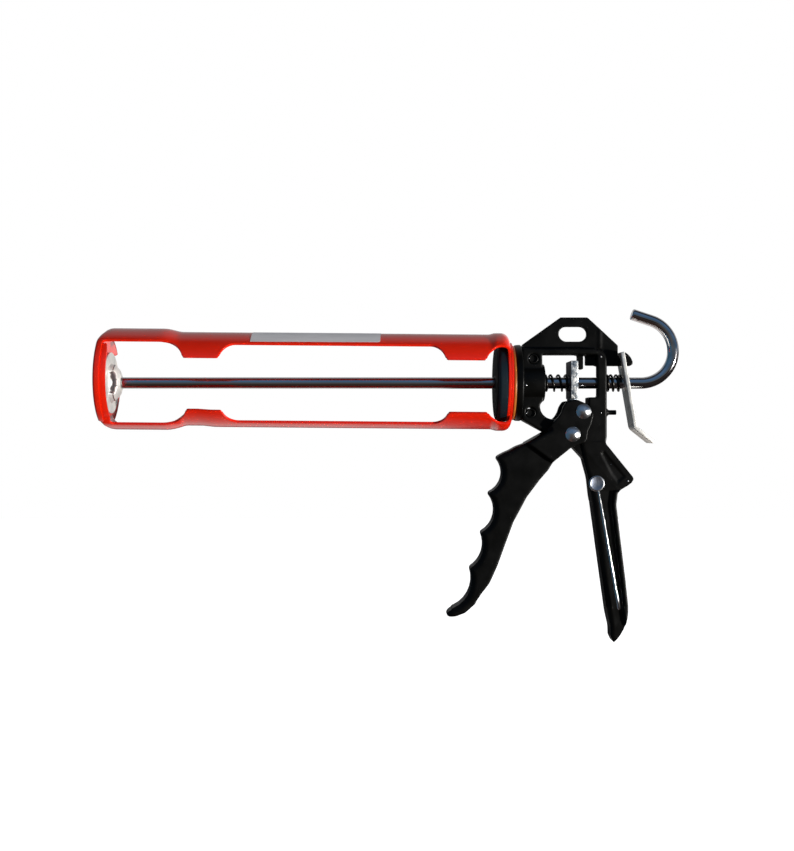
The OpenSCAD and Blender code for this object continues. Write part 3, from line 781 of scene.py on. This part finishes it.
HOOK_X, HOOK_R, HOOK_TURN = 300.5, 17.9, 161.6
HOOK_END = 11
bar = [(9.9, 0, 0), (10.4, 0, 0)] + [(x, 0, 0) for x in (80, 150, 220, 280)]
bar += [(HOOK_X + HOOK_R * sin(a), 0, HOOK_R * (1 - cos(a)))
        for a in [radians(HOOK_TURN * k / 48) for k in range(49)]]
a = radians(HOOK_TURN)
end = Vector(bar[-1])
way_out = Vector((cos(a), 0, sin(a)))
bar += [tuple(end + way_out * HOOK_END), tuple(end + way_out * (HOOK_END + 0.55))]
rod = bent_bar("push_rod_bar", bar, 3.2, 40, tip=0.5)
rod.data.materials.append(chrome)
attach(rod, "rod")
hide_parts("push_rod")


# Piston. It is a stamped and zinc plated disc with a domed hub. Flutes pressed
# into the hub and a round dimple beside it stiffen the disc.
FLAT_X, DOME_R, DOME_RISE = 4.7, 11.3, 5.6
FLUTES = (0, 120, 240)
DIMPLE_ACROSS, DIMPLE_UP, DIMPLE_DEPTH = 13.6, 4.8, 0.7
SPOKES = 144


def piston_face(r, turn_at):
    x = FLAT_X
    if r < DOME_R:
        x += DOME_RISE * sqrt(1 - (r / DOME_R) ** 2) * ease(DOME_R - r, -0.6, 1.2)
    for flute in FLUTES:
        off = radians(abs((turn_at - flute + 180) % 360 - 180))
        away = r * cos(off)
        if away > 0:
            x -= (x - FLAT_X) * ease(away, 6.9, 7.9) * (1 - ease(r * sin(off), 5.2, 6.4))
    across = r * cos(radians(turn_at)) - DIMPLE_ACROSS
    up = r * sin(radians(turn_at)) - DIMPLE_UP
    return x - DIMPLE_DEPTH * (1 - ease(sqrt(across ** 2 + up ** 2), 0.8, 2.8))


mesh = bmesh.new()
radii = [2.1, 2.8, 3.4, 3.9] + [4.4 + 0.3 * k for k in range(40)] + [16.4, 16.8, 17]
shell = []
for k in range(SPOKES):
    angle = 360 / SPOKES * k
    line = [(piston_face(r, angle) - 0.25 * ease(r, 16.2, 17), r) for r in radii]
    line += [(3.8, 17), (3.6, 16.7), (3.6, 12.2)]
    line += [(piston_face(r, angle) - SHEET, r) for r in (11.5, 9, 7, 5, 3.5, 2.1)]
    a = radians(angle)
    shell.append([mesh.verts.new((0.001 * x, -0.001 * r * cos(a), 0.001 * r * sin(a)))
                  for x, r in line])
for k in range(SPOKES):
    one, two = shell[k], shell[(k + 1) % SPOKES]
    for j in range(len(one)):
        i = (j + 1) % len(one)
        mesh.faces.new((one[j], one[i], two[i], two[j]))
bmesh.ops.recalc_face_normals(mesh, faces=mesh.faces)
bmesh.ops.translate(mesh, verts=mesh.verts, vec=(-0.00045, 0, 0))
piston = place("piston_disc", mesh)
bpy.ops.object.shade_smooth_by_angle(angle=radians(40))
zinc = material("zinc_plate", (0.8, 0.8, 0.77), 0.6, 1)
vary(zinc, "Roughness", grain(zinc, 180), 0.66, 0.8)
tint(zinc, grain(zinc, 120), (0.6, 0.62, 0.62), (0.84, 0.83, 0.79))
rough_skin(zinc, grain(zinc, 600), 0.08, 0.0001)
# The dome's steep walls, flutes among them, get a dark brownish copy of the zinc: painted dark
# reflection.
shadow = material("piston_wall_painted_reflection", (0.1, 0.085, 0.08), 0.4, 1)
vary(shadow, "Roughness", grain(shadow, 240), 0.3, 0.5)
tint(shadow, grain(shadow, 260), (0.16, 0.18, 0.19), (0.34, 0.26, 0.24))
rough_skin(shadow, grain(shadow, 600), 0.2, 0.0002)
piston.data.materials.append(zinc)
piston.data.materials.append(shadow)
# Faces on the dome's steep walls take the painted dark reflection.
for face in piston.data.polygons:
    middle = 1000 * face.center
    from_axis = Vector((middle.y, middle.z)).length
    if abs(face.normal.x) < 0.62 and 5.2 < middle.x < 9.3 and 5 < from_axis < 10.5:
        face.material_index = 1
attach(piston, "piston")
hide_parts("piston_plate")
coat("piston_nut", zinc)


# Drive plate. A block of plain steel grips the rod and rides on the trigger's upper rivet. Its
# corners are rounded and its cut edges are bright and rough. Both faces are painted dark: painted
# shade.
def edged_copy(node, name, width, segments):
    piece = cad_piece(node, name, flatten=True)
    modify(piece, "BEVEL", width=0.001 * width, segments=segments, limit_method="ANGLE",
           angle_limit=radians(35))
    bpy.ops.object.shade_smooth_by_angle(angle=radians(35))
    return piece


steel = material("drive_steel", (0.4, 0.42, 0.43), 0.42, 1)
vary(steel, "Roughness", grain(steel, 500), 0.35, 0.6)
tint(steel, grain(steel, 300, (1, 1, 1), 6), (0.2, 0.23, 0.26), (0.95, 0.94, 0.9), 0.4, 0.6)
rough_skin(steel, grain(steel, 900, (1, 1, 1), 6), 0.8, 0.0005)
# Both faces get a dark copy of the steel: painted shade.
scale = material("drive_plate_painted_shade", (0.02, 0.024, 0.035), 0.4, 0.6)
vary(scale, "Roughness", grain(scale, 300), 0.3, 0.5)
rough_skin(scale, grain(scale, 700), 0.3, 0.0003)
plate = edged_copy("drive_plate", "drive_plate_block", 0.7, 4)
plate.data.transform(Matrix.Translation((-0.0005, 0, 0)))
plate.data.materials.append(steel)
plate.data.materials.append(scale)
for face in plate.data.polygons:
    face.material_index = 1 if abs(face.normal.x) > 0.6 else 0
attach(plate, "drive_plate")
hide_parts("drive_plate")


# Springs. Both are black steel wire wound around the rod, their end turns
# closed against what they push on.
WIRE_R, COIL_R, COIL_STEPS = 0.6, 4.4, 24
CLOSED_TURN, CLOSED_RISE = 0.75, 0.9
spring = material("spring_wire", (0.035, 0.033, 0.03), 0.26, 1)
vary(spring, "Roughness", grain(spring, 300), 0.2, 0.36)


def coil(name, start, end, turns):
    first, last = start + WIRE_R, end - WIRE_R
    points = []
    for k in range(int(turns * COIL_STEPS) + 1):
        t = k / COIL_STEPS
        if t < CLOSED_TURN:
            x = first + t / CLOSED_TURN * CLOSED_RISE
        elif t > turns - CLOSED_TURN:
            x = last - (turns - t) / CLOSED_TURN * CLOSED_RISE
        else:
            open_part = (t - CLOSED_TURN) / (turns - 2 * CLOSED_TURN)
            x = first + CLOSED_RISE + open_part * (last - first - 2 * CLOSED_RISE)
        a = radians(k * 360 / COIL_STEPS)
        points.append((x, COIL_R * cos(a), COIL_R * sin(a)))
    return bent_bar(name, points, WIRE_R, 12)


front_coil = coil("front_coil", 246.0, 259.8, 4)
front_coil.data.materials.append(spring)
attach(front_coil, "body")
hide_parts("front_spring")
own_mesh(front_coil)
_, rear_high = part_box("rear_spring")
rear_coil = coil("rear_coil", 280.3, 1000 * rear_high.x, 3.5)
rear_coil.data.materials.append(spring)
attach(rear_coil, "body")
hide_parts("rear_spring")
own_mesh(rear_coil)


# Trigger. One hollow casting with two ears astride the frame, its finger side
# scalloped and well rounded. FINGERS runs down that side from the pivot, and
# the tail ends in a long oval.
PIVOT_X, PIVOT_Z = 260.8, -28.6
NARROWED, NARROWED_HALF = 0.27, 7.67
TAPER, TAPER_X, TAPER_Z = 0.0043, 163.8, -24
LOBE, LOBE_X, LOBE_Z = 1.8, 251.6, -14
TAIL, TAIL_WAY = Vector((197.49, -126.54)), Vector((-0.961, -0.275)).normalized()
TAIL_SIDE = Vector((TAIL_WAY.y, -TAIL_WAY.x))
TAIL_LONG, TAIL_HALF = 6.6, 2.6
TAIL_BELOW, TAIL_SHEAR = 0.9, 0.11


def bow(a, b, s, n=8):
    a, b = Vector(a), Vector(b)
    chord = (b - a).length
    r = (chord * chord / 4 + s * s) / (2 * abs(s))
    half = asin(min(chord / 2 / r, 1))
    way = atan2(b.y - a.y, b.x - a.x)
    side = -1 if s > 0 else 1
    centre = (a + b) / 2 - side * (r - abs(s)) * Vector((-sin(way), cos(way)))
    turns = [way + side * (pi / 2 + half - 2 * half * i / n) for i in range(n + 1)]
    return [centre + r * Vector((cos(t), sin(t))) for t in turns]


line = [(-15.2, 1.2), (-40.8, -13.2)]
for a, b, s in (((-40.8, -13.2), (-45.3, -33.2), -5.3), ((-45.3, -33.2), (-49.5, -55.3), -5.4),
                ((-49.5, -55.3), (-55.7, -75.2), -3.9), ((-55.7, -75.2), (-68.6, -98.6), -6)):
    line += [tuple(p) for p in bow(a, b, s)][1:]
FINGERS = [(x + PIVOT_X, z + PIVOT_Z) for x, z in line]
finger_line = KDTree(len(FINGERS))
for k, (x, z) in enumerate(FINGERS):
    finger_line.insert((x, z, 0), k)
finger_line.balance()

# The finger part is made narrower and a little slimmer than its solid, and the
# corner between ear and fingers is filled out to a lobe.
trigger = cast_copy("trigger", "trigger_casting", 0.0005, 5)
trigger.data.update()
moves = []
for vert in trigger.data.vertices:
    x, y, z = 1000 * vert.co
    out = Vector((vert.normal.x, 0, vert.normal.z))
    below = (237.8 - x) * 0.588 + (-35.1 - z) * 0.809
    narrow = ease(below, 0, 0.6) if z < -30 else 0
    away = finger_line.find((x, z, 0))[2]
    lift = TAPER * (1 - 2 * ease(away, 3.5, 8)) * narrow
    grow = 0.75 * ease(below, 0, 6) * out.length if z < -30 else 0
    lobe = LOBE * 2.718 ** (-((x - LOBE_X) ** 2 + (z - LOBE_Z) ** 2) / 18)
    moves.append((-lift * (x - TAPER_X) * narrow + grow * out.x + 0.6 * lobe,
                  -y * NARROWED * narrow,
                  -lift * (z - TAPER_Z) * narrow + grow * out.z - 0.8 * lobe))
for vert, move in zip(trigger.data.vertices, moves):
    vert.co += 0.001 * Vector(move)

# The tail's end is measured all round, in steps of 5 degrees, and each step is
# drawn out or in to the oval.
tail_verts = []
reach = [0.1] * 37
for vert in trigger.data.vertices:
    spot = 1000 * Vector((vert.co.x, vert.co.z)) - TAIL
    along, across = spot.dot(TAIL_WAY), spot.x * TAIL_WAY.y - spot.y * TAIL_WAY.x
    if along > -14 and spot.length < 18:
        top = TAIL_HALF + 0.38 * max(-along, 0)
        across -= TAIL_BELOW * ease(along, -14, -4) * min(max((top - across) / 4.27, 0), 1)
        turn = degrees(atan2(across, along)) / 5 + 18
        tail_verts.append((vert, along, across, turn))
        if along > 0:
            for k in (int(turn), min(int(turn) + 1, 36)):
                reach[k] = max(reach[k], sqrt(along ** 2 + across ** 2))
for vert, along, across, turn in tail_verts:
    if along > 0:
        k = min(int(turn), 35)
        a = radians(5 * (turn - 18))
        grow = 1 / sqrt((cos(a) / TAIL_LONG) ** 2 + (sin(a) / TAIL_HALF) ** 2)
        grow /= reach[k] + (reach[k + 1] - reach[k]) * (turn - k)
        along, across = grow * along, grow * across
        vert.co.y *= sqrt(1 - 0.6 * min(along / TAIL_LONG, 1) ** 3)
        across -= TAIL_SHEAR * along
    spot = TAIL + along * TAIL_WAY + across * TAIL_SIDE
    vert.co.x, vert.co.z = 0.001 * spot.x, 0.001 * spot.y
round_rim(trigger, FINGERS, NARROWED_HALF, 3.2)
soften(trigger, 3)
trigger.data.materials.append(black)
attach(trigger, "trigger")
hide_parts("trigger")


# Ear rivets. Solid zinc plated steel, their heads domed by a spinning peen
# that leaves flat facets running out from the middle.
EAR_FACE, HEAD_R, HEAD_SIDES = 10.5, 4.15, 60
FACETS, FACET_RISE = 5, 0.07
DOME = ((0, 1.95), (0.6, 1.9), (1.4, 1.7), (2.3, 1.32), (3.2, 0.8), (3.9, 0.22), (HEAD_R, 0),
        (HEAD_R, -0.6))
bright = material("rivet_steel", (0.66, 0.68, 0.7), 0.28, 1)
vary(bright, "Roughness", grain(bright, 200), 0.22, 0.34)
rough_skin(bright, grain(bright, 500), 0.2, 0.0002)
for name, node, x, z in (("pivot", "pivot_rivet", PIVOT_X, PIVOT_Z),
                         ("drive", "drive_rivet", 266.7, -16)):
    for side in (-1, 1):
        mesh = bmesh.new()
        rings = []
        for r, h in DOME:
            ring = []
            for k in range(HEAD_SIDES):
                a = 2 * pi * k / HEAD_SIDES
                facet = FACET_RISE * sin(a * FACETS + 0.6 * side) * (r / HEAD_R) if h > 0.1 else 0
                ring.append(mesh.verts.new((0.001 * (x + r * cos(a)),
                                            0.001 * side * (EAR_FACE + h + facet),
                                            0.001 * (z + r * sin(a)))))
            rings.append(ring)
        for one, two in zip(rings, rings[1:]):
            for k in range(HEAD_SIDES):
                i = (k + 1) % HEAD_SIDES
                mesh.faces.new((one[k], one[i], two[i], two[k]))
        bmesh.ops.remove_doubles(mesh, verts=rings[0], dist=0.00001)
        mesh.faces.new(rings[-1])
        bmesh.ops.recalc_face_normals(mesh, faces=mesh.faces)
        head = place(f"{name}_rivet_head_{'near' if side < 0 else 'far'}", mesh)
        bpy.ops.object.shade_smooth_by_angle(angle=radians(30))
        head.data.materials.append(bright)
        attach(head, "trigger")
    bpy.ops.mesh.primitive_cylinder_add(vertices=32, radius=0.00205, depth=0.021)
    shank = bpy.context.object
    shank.name = f"{name}_rivet_shank"
    shank.data.transform(Matrix.Translation((0.001 * x, 0, 0.001 * z))
                         @ Matrix.Rotation(radians(90), 4, "X"))
    shank.data.materials.append(bright)
    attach(shank, "trigger")
    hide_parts(node)


# Release lever. A bent strip of zinc plated steel hangs in a notch of the
# casting, round the rod.
dull = material("dull_zinc", (0.75, 0.74, 0.7), 0.46, 0.85)
vary(dull, "Roughness", grain(dull, 200), 0.4, 0.55)
tint(dull, grain(dull, 90), (0.66, 0.65, 0.62), (0.84, 0.82, 0.77))
rough_skin(dull, grain(dull, 500), 0.2, 0.0002)
lever = edged_copy("release_lever", "release_lever_strip", 0.45, 3)
lever.data.materials.append(dull)
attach(lever, "release_lever")
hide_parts("release_lever")


# Seal punch. A zinc plated wire with an eye swings out of the handle's recess
# on a flat headed rivet.
PUNCH_Y, PUNCH_WIRE_R = -9.3, 0.85
EYE_X, EYE_Z, EYE_R = 274.3, -55.5, 2.8
RIVET_X, RIVET_Z, RIVET_FACE_R = 273.85, -55.75, 3.4
wire_steel = material("punch_wire", (0.62, 0.63, 0.63), 0.16, 1)
vary(wire_steel, "Roughness", grain(wire_steel, 260, (1, 1, 0.5)), 0.1, 0.3)
rough_skin(wire_steel, grain(wire_steel, 420, (1, 1, 0.8)), 0.5, 0.0006)
a = radians(10)
low_end = [(274.2 + t * sin(a), PUNCH_Y, EYE_Z - t * cos(a))
           for t in (2.9, 20, 40, 60, 70.4, 70.9)]
eye = [(EYE_X + EYE_R * sin(a), PUNCH_Y, EYE_Z - EYE_R * cos(a))
       for a in [radians(t) for t in range(0, 360, 15)]]
wire = bent_bar("punch_wire_bar", low_end, PUNCH_WIRE_R, 16, tip=0.3)
ring = bent_bar("punch_wire_eye", eye, PUNCH_WIRE_R, 16, closed=True)
for piece in (wire, ring):
    piece.data.materials.append(wire_steel)
    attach(piece, "punch")
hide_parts("punch_wire")
punch_head = turned("punch_rivet_turned",
                    [(0, 0), (1.2, 0), (1.2, 1.2), (10.4, 1.2), (10.4, 4.1)]
                    + arc(10.7, 4.1, 0.3, 0.3, 90, 10, 3)
                    + [(11.5, 3.55), (11.42, RIVET_FACE_R), (11.42, 0)])
punch_head.data.transform(Matrix.Translation((0.001 * RIVET_X, 0, 0.001 * RIVET_Z))
                          @ Matrix.Rotation(radians(-90), 4, "Z"))
head_steel = material("punch_rivet_steel", (0.45, 0.46, 0.48), 0.5, 1)
# The rivet's flat face gets a darker, bluer copy of the steel: painted reflection.
rivet_face_painted_reflection = material("punch_rivet_face_painted_reflection", (0.3, 0.33, 0.4), 0.34, 1)
for made in (head_steel, rivet_face_painted_reflection):
    vary(made, "Roughness", grain(made, 300), 0.3, 0.45)
    rough_skin(made, grain(made, 900), 0.4, 0.0002)
    punch_head.data.materials.append(made)
for face in punch_head.data.polygons:
    middle = 1000 * face.center
    from_axis = Vector((middle.x - RIVET_X, middle.z - RIVET_Z)).length
    if middle.y < -11.3 and from_axis < RIVET_FACE_R:
        face.material_index = 1
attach(punch_head, "body")
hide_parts("punch_rivet")
